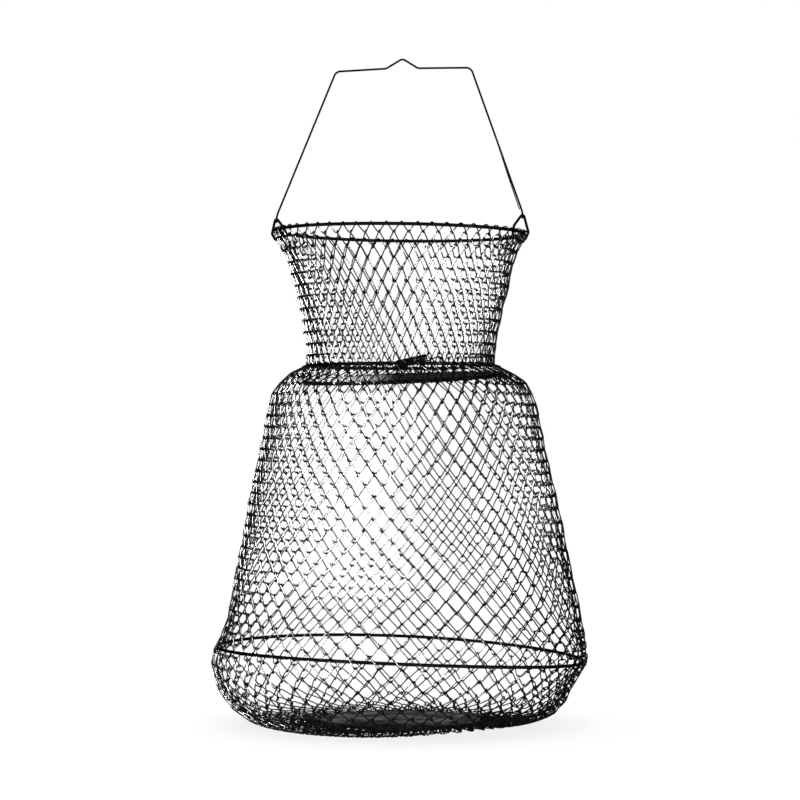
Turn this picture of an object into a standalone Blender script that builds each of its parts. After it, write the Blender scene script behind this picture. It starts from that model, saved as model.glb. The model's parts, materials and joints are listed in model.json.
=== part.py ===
"""Collapsible wire keep net: a basket of spiral wire mesh on three hoops, with a sprung trap door in its neck.

Metres, +Z up. The origin is the middle of the base plate's underside, and -Y is the front.
The net is drawn coarser than the real mesh: about one diamond for every nine real ones.
"""

import math

import bmesh
import bpy
import numpy as np
from mathutils import Matrix, Vector

# Hoops of round wire: height of the centre line, and radius of the centre line
HOOP_WIRE = 0.0015
RIM_Z = 0.438
RIM_RADIUS = 0.1105
NECK_Z = 0.319
NECK_RADIUS = 0.0815
BODY_Z = 0.063
BODY_RADIUS = 0.1632
BODY_TILT = math.radians(2.0)  # the body hoop hangs lower on its right

# Clearance between solids that touch on the real object
GAP = 0.0003

# Net: bars of half thickness NET_BAR, MESHES diamonds round, and rows of half diamonds in each length
NET_BAR = 0.0008
MESHES = 18
FUNNEL_ROWS = 4
BODY_ROWS = 9
BOTTOM_ROWS = 5

# Net surface radii (middle of the bars) at the hoops, shoulder, bulge and floor
RIM_NET = RIM_RADIUS - HOOP_WIRE - GAP - NET_BAR
NECK_NET = NECK_RADIUS + HOOP_WIRE + GAP + NET_BAR
BODY_NET = BODY_RADIUS + HOOP_WIRE + GAP + NET_BAR
SHOULDER_DROP = 0.0265
SHOULDER_HEIGHT = 0.022
BULGE_RADIUS = 0.1676
BULGE_Z = 0.049
FLOOR_RADIUS = 0.108
FLOOR_LEAN = 0.008  # the bottom sags further out on its left
FLOOR_Z = NET_BAR + 0.0002
NET_END_RADIUS = 0.0600

# Base: an upper plate with a raised bead, a lower clamp plate and the rivet that joins them
PLATE_RADIUS = 0.071
PLATE_Z = 0.0024
SHEET = 0.0008
BEAD_HEIGHT = 0.0016
CLAMP_RADIUS = 0.058
BOSS_RADIUS = 0.008
BOSS_HEIGHT = 0.0013
RIVET_RADIUS = 0.0019
RIVET_HEAD = 0.0045

# Trap door: a round flap under the neck hoop, hinged at the back, a little low at its front and left
DOOR_RADIUS = 0.086
HINGE_HALF = 0.022
HINGE_Z = 0.3124
DOOR_ROLL = math.radians(2.3)
DOOR_PITCH = math.radians(3.1)
DOOR_MESH_PITCH = 0.036
DOOR_MESH_LINES = 5
LINK_WIRE = 0.0007
LINK_RADIUS = 0.0027

# Torsion spring of the door: a close coil on top of the neck hoop, with two legs
SPRING_WIRE = 0.0006
COIL_RADIUS = 0.0029
COIL_TURNS = 15
COIL_POINTS = 9
COIL_LEFT = Vector((-0.0023, 0.0768, 0.3243))
COIL_RIGHT = Vector((0.0235, 0.0743, 0.3282))
HOOK_X = 0.038

# Ears on the rim, and the bail that swings in them: side, height of the ear's top
EAR_WIRE = 0.00105
EAR_TOP_X = 0.1100
EAR_TOPS = ((-1, 0.4498), (1, 0.4537))
EAR_FOOT_IN = ((0.1047, 0.4350), 0.0026)
EAR_FOOT_OUT = ((0.1109, 0.4352), 0.0030)
BAIL_WIRE = 0.0009
BAIL_EYE = 0.0024
BAIL_BENDS = ((-0.0576, 0.5819), (0.0629, 0.5855))
BAIL_PEAK = (0.0018, 0.5935)
BAIL_PEAK_FEET = ((-0.0129, 0.5846), (0.0156, 0.5850))

BLACK_WIRE = (0.045, 0.045, 0.048, 1.0)
GREY_PLATE = (0.22, 0.22, 0.23, 1.0)


def clear_scene():
    for obj in list(bpy.data.objects):
        bpy.data.objects.remove(obj, do_unlink=True)


def make_collection(name, hidden=False):
    collection = bpy.data.collections.new(name)
    collection.hide_render = hidden
    bpy.context.scene.collection.children.link(collection)
    return collection


def make_material(name, colour, roughness):
    material = bpy.data.materials.new(name)
    material.use_nodes = True
    shader = material.node_tree.nodes["Principled BSDF"]
    shader.inputs["Base Color"].default_value = colour
    shader.inputs["Roughness"].default_value = roughness
    shader.inputs["Metallic"].default_value = 1.0
    material.diffuse_color = colour
    return material


def add_part(obj, name, material, parent, smooth_angle=None):
    """Name an object, give it its material and its parent empty, and put it in the part's collection."""
    obj.name = name
    obj.data.name = name
    obj.data.materials.clear()
    obj.data.materials.append(material)
    for collection in list(obj.users_collection):
        collection.objects.unlink(obj)
    PARTS.objects.link(obj)
    obj.parent = parent
    if smooth_angle is not None:
        obj.data.shade_smooth()
        obj.data.set_sharp_from_angle(angle=smooth_angle)
    return obj


def make_pivot(name, location, rotation=(0.0, 0.0, 0.0)):
    """An empty on a moving body's joint axis, which carries that body's pieces."""
    pivot = bpy.data.objects.new(name, None)
    pivot.empty_display_size = 0.02
    pivot.location = location
    pivot.rotation_euler = rotation
    PARTS.objects.link(pivot)
    return pivot


def make_hoop(name, radius, material, parent, location=(0.0, 0.0, 0.0), tilt=0.0):
    """A ring of round wire, tilted about Y."""
    bpy.ops.mesh.primitive_torus_add(
        major_radius=radius, minor_radius=HOOP_WIRE, major_segments=72, minor_segments=8
    )
    hoop = add_part(bpy.context.object, name, material, parent, math.pi)
    hoop.location = location
    hoop.rotation_euler = (0.0, tilt, 0.0)
    return hoop


def make_wire(name, points, radius, material, parent, closed=False, resolution=2):
    """A bent wire along points, given in its parent's frame."""
    curve = bpy.data.curves.new(name, "CURVE")
    curve.dimensions = "3D"
    curve.bevel_depth = radius
    curve.bevel_resolution = resolution
    curve.use_fill_caps = True
    spline = curve.splines.new("POLY")
    spline.points.add(len(points) - 1)
    for point, place in zip(spline.points, points):
        point.co = (*place, 1.0)
    spline.use_cyclic_u = closed
    return add_part(bpy.data.objects.new(name, curve), name, material, parent)


def make_turned(name, profile, material, parent, location=(0.0, 0.0, 0.0), steps=48):
    """A closed (radius, height) outline turned about Z."""
    mesh = bpy.data.meshes.new(name)
    outline = [(radius, 0.0, height) for radius, height in profile]
    count = len(outline)
    mesh.from_pydata(outline, [(i, (i + 1) % count) for i in range(count)], [])
    obj = add_part(bpy.data.objects.new(name, mesh), name, material, parent)
    obj.location = location
    screw = obj.modifiers.new("turn", "SCREW")
    screw.steps = steps
    screw.render_steps = steps
    screw.use_merge_vertices = True
    screw.merge_threshold = 0.00001
    screw.use_smooth_shade = False
    return obj


def rounded(corners, radii, steps=5, closed=False):
    """A path through corners with each corner turned as an arc of its own radius, as bent wire is."""
    count = len(corners)
    path = []
    for i in range(count):
        corner = Vector(corners[i])
        if not closed and i in (0, count - 1):
            path.append(corner)
            continue
        back = (Vector(corners[i - 1]) - corner).normalized()
        ahead = (Vector(corners[(i + 1) % count]) - corner).normalized()
        half = back.angle(ahead) / 2
        bisector = (back + ahead).normalized()
        centre = corner + bisector * radii[i] / math.sin(half)
        start = corner + back * radii[i] / math.tan(half) - centre
        turn = math.pi - 2 * half
        axis = back.cross(ahead).normalized()
        path += [centre + Matrix.Rotation(-turn * k / steps, 3, axis) @ start for k in range(steps + 1)]
    return path


def belt(circles, steps=6):
    """The outline of a belt run anticlockwise round circles, each ((x, z), radius), as (x, z) points."""
    centres = [np.array(centre) for centre, _ in circles]
    radii = [radius for _, radius in circles]
    count = len(circles)
    normals = []
    for i in range(count):
        run = centres[(i + 1) % count] - centres[i]
        length = np.linalg.norm(run)
        lean = (radii[i] - radii[(i + 1) % count]) / length
        right = np.array([run[1], -run[0]]) / length
        normals.append(run / length * lean + right * math.sqrt(1 - lean**2))
    path = []
    for i in range(count):
        start = math.atan2(normals[i - 1][1], normals[i - 1][0])
        end = math.atan2(normals[i][1], normals[i][0])
        turn = (end - start) % (2 * math.pi)
        for k in range(steps + 1):
            angle = start + turn * k / steps
            path.append(centres[i] + radii[i] * np.array([math.cos(angle), math.sin(angle)]))
    return path


def least_gap(points, radius, apart):
    """The least space between two stretches of one tube that lie at least apart along it."""
    places = np.array([tuple(p) for p in points])
    along = np.concatenate([[0.0], np.cumsum(np.linalg.norm(np.diff(places, axis=0), axis=1))])
    starts, ends = places[:-1], places[1:]
    shares = np.linspace(0.0, 1.0, 8)[:, None]
    fine = np.concatenate([a + (b - a) * shares for a, b in zip(starts, ends)])
    length = np.concatenate([a + (b - a) * shares[:, 0] for a, b in zip(along[:-1], along[1:])])
    far = np.abs(length[:, None] - length[None, :]) > apart
    distance = np.linalg.norm(fine[:, None] - fine[None, :], axis=2)
    return float(distance[far].min()) - 2 * radius


def funnel_surface(share, angle):
    """From the neck hoop up to the rim: a cone that flares, most of all in its last tenth."""
    flare = 0.72 * share**1.35 + 0.28 * share**10
    radius = NECK_NET + (RIM_NET - NECK_NET) * flare
    return radius, NECK_Z + (RIM_Z - NECK_Z) * share


def body_surface(share, angle):
    """From the neck hoop down to the body hoop: a straight taper whose top draws in as a round shoulder."""
    depth = (NECK_Z - BODY_Z) * share**1.12
    taper = (BODY_NET - NECK_NET - SHOULDER_DROP) / (NECK_Z - BODY_Z)
    drawn_in = SHOULDER_DROP * np.clip(1 - depth / SHOULDER_HEIGHT, 0.0, 1.0) ** 2
    radius = NECK_NET + SHOULDER_DROP + taper * depth - drawn_in
    tilt = np.cos(angle) * BODY_NET * math.tan(BODY_TILT) * share**2
    return radius, NECK_Z - depth - tilt


def bottom_surface(share, angle):
    """From the body hoop to the base plate: a short bulge, a quarter ellipse down to the floor, and the flat floor."""
    bulge_end, floor_start = 0.10, 0.68
    floor_radius = FLOOR_RADIUS - FLOOR_LEAN * np.cos(angle)
    fall = np.clip(share / bulge_end, 0.0, 1.0)
    turn = np.clip((share - bulge_end) / (floor_start - bulge_end), 0.0, 1.0) * math.pi / 2
    flat = np.clip((share - floor_start) / (1 - floor_start), 0.0, 1.0)
    radius = np.where(
        share < bulge_end,
        BODY_NET + (BULGE_RADIUS - BODY_NET) * fall,
        floor_radius + (BULGE_RADIUS - floor_radius) * np.cos(turn),
    )
    radius = radius + (NET_END_RADIUS - floor_radius) * flat
    height = BODY_Z + (BULGE_Z - BODY_Z) * fall - (BULGE_Z - FLOOR_Z) * np.sin(turn)
    tilt = np.cos(angle) * BODY_NET * math.tan(BODY_TILT) * (1 - np.clip(share / floor_start, 0.0, 1.0)) ** 2
    return radius, height - tilt


def make_net(name, surface, rows, first_phase, material, parent):
    """A tube of diamond mesh: a zigzag grid of points on a surface, whose edges become bars."""
    step = 2 * math.pi / MESHES
    level = np.repeat(np.arange(rows + 1), MESHES)
    phase = (level + first_phase) % 2 / 2
    angle = (np.tile(np.arange(MESHES), rows + 1) + phase) * step
    radius, height = surface(level / rows, angle)
    points = np.stack([radius * np.cos(angle), radius * np.sin(angle), height], axis=1)
    points -= np.array(parent.location)
    faces = []
    for row in range(1, rows):
        shifted = (row + first_phase) % 2
        for i in range(MESHES):
            left = (i - 1) % MESHES if shifted else i
            right = i if shifted else (i + 1) % MESHES
            faces.append(
                (
                    (row - 1) * MESHES + (i if shifted else i),
                    row * MESHES + left,
                    (row + 1) * MESHES + i,
                    row * MESHES + right,
                )
            )
    mesh = bpy.data.meshes.new(name)
    mesh.from_pydata(points.tolist(), [], faces)
    obj = add_part(bpy.data.objects.new(name, mesh), name, material, parent)
    bars = obj.modifiers.new("bars", "WIREFRAME")
    bars.thickness = 2 * NET_BAR
    bars.use_even_offset = False
    bars.use_boundary = True
    return obj


def make_base(material, parent):
    """The base plate, the clamp plate under it and the rivet, with the net's end caught between the plates."""
    plate_top = PLATE_Z + SHEET
    hole = RIVET_RADIUS + GAP
    make_turned(
        "base_plate",
        [
            (hole, plate_top),
            (PLATE_RADIUS - 0.0030, plate_top),
            (PLATE_RADIUS - 0.0018, plate_top + BEAD_HEIGHT - 0.0003),
            (PLATE_RADIUS - 0.0009, plate_top + BEAD_HEIGHT),
            (PLATE_RADIUS, plate_top + BEAD_HEIGHT - 0.0004),
            (PLATE_RADIUS, PLATE_Z + 0.0003),
            (PLATE_RADIUS - 0.0006, PLATE_Z),
            (hole, PLATE_Z),
        ],
        material,
        parent,
    )
    make_turned(
        "clamp_plate",
        [
            (hole, BOSS_HEIGHT + SHEET - GAP),
            (BOSS_RADIUS, BOSS_HEIGHT + SHEET - GAP),
            (BOSS_RADIUS + 0.0015, SHEET),
            (CLAMP_RADIUS, SHEET),
            (CLAMP_RADIUS, 0.0),
            (BOSS_RADIUS, 0.0),
            (BOSS_RADIUS - 0.0012, BOSS_HEIGHT - GAP),
            (hole, BOSS_HEIGHT - GAP),
        ],
        material,
        parent,
    )
    head_z = plate_top + GAP
    tail_z = BOSS_HEIGHT - 2 * GAP
    make_turned(
        "base_rivet",
        [
            (0.0, head_z + 0.0014),
            (RIVET_HEAD * 0.55, head_z + 0.0012),
            (RIVET_HEAD * 0.9, head_z + 0.0006),
            (RIVET_HEAD, head_z),
            (RIVET_RADIUS, head_z),
            (RIVET_RADIUS, tail_z),
            (RIVET_HEAD - 0.001, tail_z),
            (RIVET_HEAD - 0.001, tail_z - 0.0004),
            (0.0, tail_z - 0.0005),
        ],
        material,
        parent,
        steps=24,
    )


def make_door_mesh(material, parent, centre):
    """Crossed bars in the door's plane, cut round just inside its hoop."""
    reach = DOOR_MESH_PITCH * DOOR_MESH_LINES / 2
    mesh = bpy.data.meshes.new("door_mesh")
    grid = bmesh.new()
    bmesh.ops.create_grid(
        grid, x_segments=DOOR_MESH_LINES, y_segments=DOOR_MESH_LINES, size=reach / math.sqrt(2)
    )
    bmesh.ops.rotate(grid, verts=grid.verts, matrix=Matrix.Rotation(math.pi / 4, 3, "Z"))
    bmesh.ops.translate(grid, verts=grid.verts, vec=centre)
    grid.to_mesh(mesh)
    grid.free()
    obj = add_part(bpy.data.objects.new("door_mesh", mesh), "door_mesh", material, parent)
    bars = obj.modifiers.new("bars", "WIREFRAME")
    bars.thickness = 2 * NET_BAR
    bars.use_even_offset = False
    bars.use_boundary = True
    bpy.ops.mesh.primitive_cylinder_add(
        vertices=72, radius=DOOR_RADIUS - HOOP_WIRE - GAP, depth=0.01, location=centre
    )
    cutter = bpy.context.object
    cutter.name = "door_round"
    cutter.parent = parent
    cutter.hide_render = True
    cutter.display_type = "WIRE"
    for collection in list(cutter.users_collection):
        collection.objects.unlink(cutter)
    CUTTERS.objects.link(cutter)
    trim = obj.modifiers.new("round", "BOOLEAN")
    trim.operation = "INTERSECT"
    trim.object = cutter
    return obj


def make_link(name, x, door_point, material, parent):
    """An oval link round the neck hoop's wire and the door hoop's wire, in a plane square to X."""
    upper = Vector((x, math.sqrt(NECK_RADIUS**2 - x**2), NECK_Z))
    lower = Vector(door_point)
    along = (lower - upper).normalized()
    side = Vector((1.0, 0.0, 0.0)).cross(along).normalized()
    points = []
    for centre, start in ((upper, 0.0), (lower, math.pi)):
        for k in range(9):
            turn = start + math.pi * k / 8
            points.append(centre + LINK_RADIUS * (math.cos(turn) * side - math.sin(turn) * along))
    return make_wire(name, [p - parent.location for p in points], LINK_WIRE, material, parent, closed=True)


def spring_path(door_frame, door_centre):
    """The left leg from under the door's mesh, the coil, and the right leg hooked round the neck hoop."""
    axis = (COIL_RIGHT - COIL_LEFT).normalized()
    up = Vector((0.0, 0.0, 1.0)).cross(axis).cross(axis).normalized() * -1
    out = axis.cross(up)
    coil = []
    for k in range(COIL_TURNS * COIL_POINTS + 1):
        turn = 2 * math.pi * k / COIL_POINTS
        centre = COIL_LEFT.lerp(COIL_RIGHT, k / (COIL_TURNS * COIL_POINTS))
        coil.append(centre + COIL_RADIUS * (math.cos(turn) * up - math.sin(turn) * out) * -1)
    below = -(NET_BAR + SPRING_WIRE + GAP + 0.0002)
    under = [door_frame @ (door_centre + Vector((x, y, below))) for x, y in ((0.0, 0.046), (-0.0035, 0.070))]
    passing = Vector((-0.0037, 0.0750, 0.3150))
    left = rounded([under[0], under[1], passing, coil[0]], [0.0, 0.003, 0.002, 0.0], steps=3)[:-1]
    hook = Vector((HOOK_X, math.sqrt(NECK_RADIUS**2 - HOOK_X**2), NECK_Z))
    inward = Vector((-hook.x, -hook.y, 0.0)).normalized()
    bend = HOOP_WIRE + SPRING_WIRE + GAP + 0.0001
    over = Vector((HOOK_X - 0.002, 0.0, 0.3302)) + Vector((0.0, hook.y + inward.y * bend, 0.0))
    around = [
        hook + bend * (math.cos(turn) * inward - math.sin(turn) * Vector((0.0, 0.0, 1.0)))
        for turn in np.linspace(0.0, math.pi * 0.85, 7)
    ]
    right = rounded([coil[-1], over, around[0]], [0.0, 0.003, 0.0], steps=3)[1:-1]
    return left + coil + right + around


def make_ear(name, side, top, material, parent):
    """A closed three-cornered wire link round the rim hoop, in the plane of the bail at rest."""
    crown = ((EAR_TOP_X, top - BAIL_EYE), BAIL_EYE)
    path = belt([crown, EAR_FOOT_IN, EAR_FOOT_OUT])
    points = [Vector((side * x, 0.0, z)) - parent.location for x, z in path]
    return make_wire(name, points, EAR_WIRE, material, parent, closed=True)


def eye_path(side, top):
    """The bail's end: nearly a full turn round the ear's top wire, square to X, ending at the shank."""
    turns = np.linspace(math.radians(305), math.radians(35), 16)
    return [
        Vector((side * EAR_TOP_X, BAIL_EYE * math.sin(turn), top + BAIL_EYE * math.cos(turn)))
        for turn in turns
    ]


def bail_path():
    """Left eye, left leg, the flat top with its peak in the middle, right leg, right eye."""
    ends = []
    for side, top in EAR_TOPS:
        eye = eye_path(side, top)
        shank = Vector((side * (EAR_TOP_X - 0.0008), 0.0, top + 0.0050))
        ends.append(eye + [shank])
    (left_x, left_z), (right_x, right_z) = BAIL_BENDS
    (foot_left_x, foot_left_z), (foot_right_x, foot_right_z) = BAIL_PEAK_FEET
    corners = [
        ends[0][-1],
        Vector((left_x, 0.0, left_z)),
        Vector((foot_left_x, 0.0, foot_left_z)),
        Vector((BAIL_PEAK[0], 0.0, BAIL_PEAK[1])),
        Vector((foot_right_x, 0.0, foot_right_z)),
        Vector((right_x, 0.0, right_z)),
        ends[1][-1],
    ]
    top = rounded(corners, [0.0, 0.006, 0.006, 0.004, 0.006, 0.006, 0.0], steps=5)
    return ends[0][:-1] + top + ends[1][-2::-1]


def build():
    wire = make_material("black_wire", BLACK_WIRE, 0.35)
    net_wire = make_material("net_wire", BLACK_WIRE, 0.4)
    spring_wire = make_material("spring_wire", BLACK_WIRE, 0.3)
    sheet = make_material("grey_plate", GREY_PLATE, 0.45)

    bottom = make_pivot("bottom", (0.0, 0.0, 0.0))
    make_base(sheet, bottom)
    make_net("bottom_net", bottom_surface, BOTTOM_ROWS, 1, net_wire, bottom)

    body_ring = make_pivot("body_ring", (0.0, 0.0, BODY_Z))
    make_hoop("body_hoop", BODY_RADIUS, wire, body_ring, tilt=BODY_TILT)
    make_net("body_net", body_surface, BODY_ROWS, 1, net_wire, body_ring)

    neck = make_pivot("neck", (0.0, 0.0, NECK_Z))
    make_hoop("neck_hoop", NECK_RADIUS, wire, neck)
    make_net("funnel_net", funnel_surface, FUNNEL_ROWS, 0, net_wire, neck)

    hinge_y = math.sqrt(DOOR_RADIUS**2 - HINGE_HALF**2)
    door = make_pivot("door", (0.0, hinge_y, HINGE_Z), (DOOR_PITCH, -DOOR_ROLL, 0.0))
    door_centre = Vector((0.0, -hinge_y, 0.0))
    make_hoop("door_hoop", DOOR_RADIUS, wire, door, location=door_centre)
    make_door_mesh(net_wire, door, door_centre)

    door_frame = Matrix.Translation(door.location) @ door.rotation_euler.to_matrix().to_4x4()
    for name, x in (("left_hinge_link", -HINGE_HALF), ("right_hinge_link", HINGE_HALF)):
        make_link(name, x, door_frame @ Vector((x, 0.0, 0.0)), wire, neck)
    path = spring_path(door_frame, door_centre)
    make_wire("door_spring", [p - neck.location for p in path], SPRING_WIRE, spring_wire, neck, resolution=1)
    print(f"door_spring: least gap to itself {1000 * least_gap(path, SPRING_WIRE, 0.005):.2f} mm")

    rim = make_pivot("rim", (0.0, 0.0, RIM_Z))
    make_hoop("rim_hoop", RIM_RADIUS, wire, rim)
    for name, (side, top) in zip(("left_ear", "right_ear"), EAR_TOPS):
        make_ear(name, side, top, wire, rim)

    bail = make_pivot("bail_pivot", (0.0, 0.0, sum(top for _, top in EAR_TOPS) / 2))
    make_wire("bail", [p - bail.location for p in bail_path()], BAIL_WIRE, wire, bail)


clear_scene()
PARTS = make_collection("wire_keep_net")
CUTTERS = make_collection("cutters", hidden=True)
build()
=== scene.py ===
"""Collapsible wire keep net: spiral mesh, hoops, trap door, spring, ears, bail and base.

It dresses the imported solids, in metres, with +Z up and the front at -Y. Each operator in the sidebar makes
one piece or one group of like pieces.
"""

import json
import math

import bpy
import numpy as np
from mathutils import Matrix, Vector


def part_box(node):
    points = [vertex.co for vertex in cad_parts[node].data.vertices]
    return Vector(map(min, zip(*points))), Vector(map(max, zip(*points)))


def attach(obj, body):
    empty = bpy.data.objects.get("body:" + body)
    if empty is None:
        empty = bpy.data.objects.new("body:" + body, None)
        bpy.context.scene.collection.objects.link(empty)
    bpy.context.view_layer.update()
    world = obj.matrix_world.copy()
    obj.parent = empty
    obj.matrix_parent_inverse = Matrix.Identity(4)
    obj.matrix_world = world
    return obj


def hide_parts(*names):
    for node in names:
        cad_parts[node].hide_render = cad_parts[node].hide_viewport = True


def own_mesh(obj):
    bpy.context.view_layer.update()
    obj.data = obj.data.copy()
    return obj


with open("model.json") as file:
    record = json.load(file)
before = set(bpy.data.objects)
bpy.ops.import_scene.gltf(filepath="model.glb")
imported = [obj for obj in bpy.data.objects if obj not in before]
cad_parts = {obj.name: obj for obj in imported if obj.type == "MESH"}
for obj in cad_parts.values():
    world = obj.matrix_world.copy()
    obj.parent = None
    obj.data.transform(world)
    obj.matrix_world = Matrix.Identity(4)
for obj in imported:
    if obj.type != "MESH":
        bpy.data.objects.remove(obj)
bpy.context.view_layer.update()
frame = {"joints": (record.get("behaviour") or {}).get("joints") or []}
JOINTS = {joint["name"]: joint for joint in frame["joints"]}

bl_info = {
    "name": "Wire Keep Net",
    "version": (1, 0, 0),
    "blender": (4, 5, 0),
    "location": "3D Viewport > Sidebar > Keep Net",
    "description": "Builds a collapsible basket of interlinked spiral wires with a sprung trap door",
    "category": "Add Mesh",
}

FULL = 2 * math.pi
MM = 0.001

# Sizes whose names end in WIRE are half a wire's thickness, and GAP is left between wires that touch. The
# heights and radii of the hoops are to the middle of their wire.
HOOP_WIRE = 1.5 * MM
GAP = 0.05 * MM
RIM_Z = sum(corner.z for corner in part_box("rim_hoop")) / 2
NECK_Z = sum(corner.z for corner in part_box("neck_hoop")) / 2
BODY_Z = sum(corner.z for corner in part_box("body_hoop")) / 2
RIM_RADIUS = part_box("rim_hoop")[1].x - HOOP_WIRE
NECK_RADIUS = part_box("neck_hoop")[1].x - HOOP_WIRE
BODY_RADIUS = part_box("body_hoop")[1].y - HOOP_WIRE

# The trap door: its hoop, its tilt, its coils, its hinge and the wire laced round its hoop
DOOR_RADIUS = 86.0 * MM
DOOR_PITCH = math.radians(3.1)
DOOR_ROLL = math.radians(2.3)
DOOR_TURN = 11.5 * MM
DOOR_ROW = 10.0 * MM
DOOR_COIL = 0.8 * MM
HINGE_HALF = 22.0 * MM
HINGE_Z = JOINTS["door_hinge"]["pos_m"][2]
HINGE_LINK_WIRE = 0.7 * MM
HINGE_LINK_BEND = 2.7 * MM
LACING_TURNS = 66
LACING_WIRE = 0.3 * MM

# The spring's coil, from its left end to its right end
SPRING_TURNS = 21
SPRING_WIRE = 0.64 * MM
SPRING_RADIUS = 3.2 * MM
SPRING_LEFT = np.array([-3.4, 74.6, 321.9]) * MM
SPRING_RIGHT = np.array([24.0, 70.9, 328.1]) * MM
SPRING_HOOK_X = 41.0 * MM

# The ears: how far the middle of their wire lies under their tops, how sharply it turns at the crown and at
# the other corners, and how far out the crowns stand, in millimetres
EAR_WIRE = 1.2 * MM
EAR_TOP = 1.05 * MM
CROWN_BEND = 1.6 * MM
CORNER_BEND = 1.2 * MM
LEFT_CROWN = 110.6
RIGHT_CROWN = 108.9

# The bail: the radius of its eyes, and how far up the right leg its end is laid back, as a share of the leg
BAIL_WIRE = 0.9 * MM
BAIL_EYE = 2.4 * MM
LAID_BACK = 0.43

# The base plate's painted face ends here, and its bare bead is this much further out
SHEET_EDGE = 68.0 * MM
BEAD_FADE = 1.2 * MM

# Heights of the links between the funnel's coils, in millimetres, and of the first and last links below it
FUNNEL_LINKS = (431.6, 421.2, 410.7, 400.3, 390.0, 379.8, 369.3, 358.9, 348.6, 338.3, 328.1)
FIRST_BODY_LINK = 316.3 * MM
LAST_BODY_LINK = 69.6 * MM
FIRST_BOTTOM_LINK = 59.8 * MM
LAST_BOTTOM_LINK = 1.26 * MM

# Lengths of the coils relative to each other: the longest are on the shoulder under the neck
SHOULDER_STEPS = (1.24, 1.13, 1.12)
BODY_STEPS = (1.02, 0.96)
BOTTOM_STEPS = (1.15, 0.85)

# A coil's bends are this deep at most, over this share of a strand at each of its ends it turns dull and dark
# like the bends, and the wire of a coil has this many sides
BEND = 1.2 * MM
DULL_ENDS = 0.15
COIL_SIDES = 5

# The mesh's outer face lies this far outside its middle. The coils are thicker at the neck than at the body
# hoop, a third thicker half-way down to the floor, and the last ones are pressed flat under the base plate.
OUTER_FACE = 1.5 * MM
SQUEEZED = (1.35, 1.0)
LOOSENED = 0.35
PRESSED = (0.9, 0.8, 0.65, 0.4)

# Where the coils of one row and of the next start, as shares of a turn
PHASES = (0.83, 0.33)

# How shiny the mesh is, as (height in millimetres, share): lower shares are painted shade, dull dark wire by
# the floor, round the neck and over the far arc of the rim hoop, and a share of 1 is shiny metal
SHINE_AND_SHADE = (
    (8.0, 0.0), (30.0, 0.05), (50.0, 0.6), (75.0, 0.7), (95.0, 0.3), (112.0, 0.3), (130.0, 1.0), (293.0, 1.0),
    (300.0, 0.0), (311.0, 0.0), (314.0, 0.4), (318.0, 0.4), (321.0, 0.0), (328.0, 0.0), (333.0, 1.0),
    (419.8, 1.0), (422.5, 0.0), (424.5, 0.0), (429.0, 1.0), (433.0, 1.0), (435.5, 0.0),
)

# How far the mesh bulges to the right, as (height, bulge) in millimetres: it leans there above the body
# hoop and to the left on the floor
BULGE = (
    (0.0, -5.0), (12.0, -3.2), (22.0, -5.2), (32.0, -6.2), (46.0, -5.2), (56.0, -1.5), (63.0, 0.8),
    (72.0, 3.4), (84.0, 4.4), (108.0, 4.8), (150.0, 3.6), (200.0, 2.4), (250.0, 1.8), (285.0, 1.6),
    (303.0, 1.9), (316.0, 0.8), (322.0, 0.0), (342.0, -0.2), (358.0, 0.7), (376.0, 1.9), (394.0, 1.6),
    (411.0, 0.1), (428.0, -0.4), (438.0, 0.0),
)

# The middle of the mesh's thickness, as (radius, height) in millimetres from the rim down to the base plate
PROFILE = (
    (111.0, 446.0), (110.9, 438.0), (106.2, 427.5), (102.0, 419.0), (98.7, 410.5), (96.5, 400.5),
    (94.2, 390.0), (91.5, 379.0), (88.8, 369.0), (86.8, 358.0), (84.6, 347.0), (82.5, 336.0), (81.7, 327.0),
    (81.9, 319.0), (88.6, 315.9), (96.0, 312.6), (103.2, 308.0), (109.0, 302.6), (113.2, 296.0),
    (116.2, 288.0), (118.8, 277.6), (123.4, 256.0), (127.9, 234.7), (132.4, 213.0), (136.8, 192.0),
    (141.0, 170.5), (145.4, 149.0), (149.7, 127.6), (153.9, 106.0), (158.4, 84.0), (162.9, 63.0),
    (163.4, 54.0), (160.0, 44.0), (155.2, 32.0), (149.8, 22.0), (140.6, 12.4), (131.0, 6.6), (122.0, 3.2),
    (110.0, 2.3), (96.0, 2.1), (82.0, 1.9), (72.0, 1.5), (64.0, 1.25), (54.0, 1.2),
)

# Lamps, as name, strength, and spread, height over the horizon and direction in degrees
LAMPS = (
    ("front", 50.0, 14.0, 24.0, -9.0),
    ("front_left", 52.0, 14.0, 23.0, -34.0),
    ("left", 50.0, 14.0, 21.0, -62.0),
    ("side", 70.0, 14.0, 19.0, -90.0),
    ("back_left", 60.0, 14.0, 35.0, -103.0),
    ("over", 0.6, 70.0, 70.0, 160.0),
    ("top", 3.1, 90.0, 75.0, 160.0),
)

# How far left of the axis the camera stands, and how many degrees it looks up
CAMERA_X = -0.45 * MM
CAMERA_PITCH = 0.45


# Arrays to meshes


def unit(vectors):
    """Each vector divided by its own length."""
    return vectors / np.linalg.norm(vectors, axis=-1, keepdims=True)


def ring_faces(rings, sides, closed):
    """Quads between neighbouring rings of points, and the two end faces of an open tube."""
    ring = np.arange(rings if closed else rings - 1)[:, None]
    side = np.arange(sides)[None, :]
    after = (ring + 1) % rings * sides
    ahead = (side + 1) % sides
    quads = np.stack([ring * sides + side, ring * sides + ahead, after + ahead, after + side], axis=-1)
    ends = np.concatenate([side[:, ::-1], side + (rings - 1) * sides])
    return quads.reshape(-1, 4), ends[:0] if closed else ends


def carried(tangent):
    """A direction square to each tangent, carried along the wire without twisting: the last one less its
    part along the next tangent."""
    side = np.cross(tangent[0], np.eye(3)[np.argmin(np.abs(tangent[0]))])
    sides = []
    for ahead in tangent:
        side = unit(side - (side @ ahead) * ahead)
        sides.append(side)
    return np.array(sides)


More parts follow.
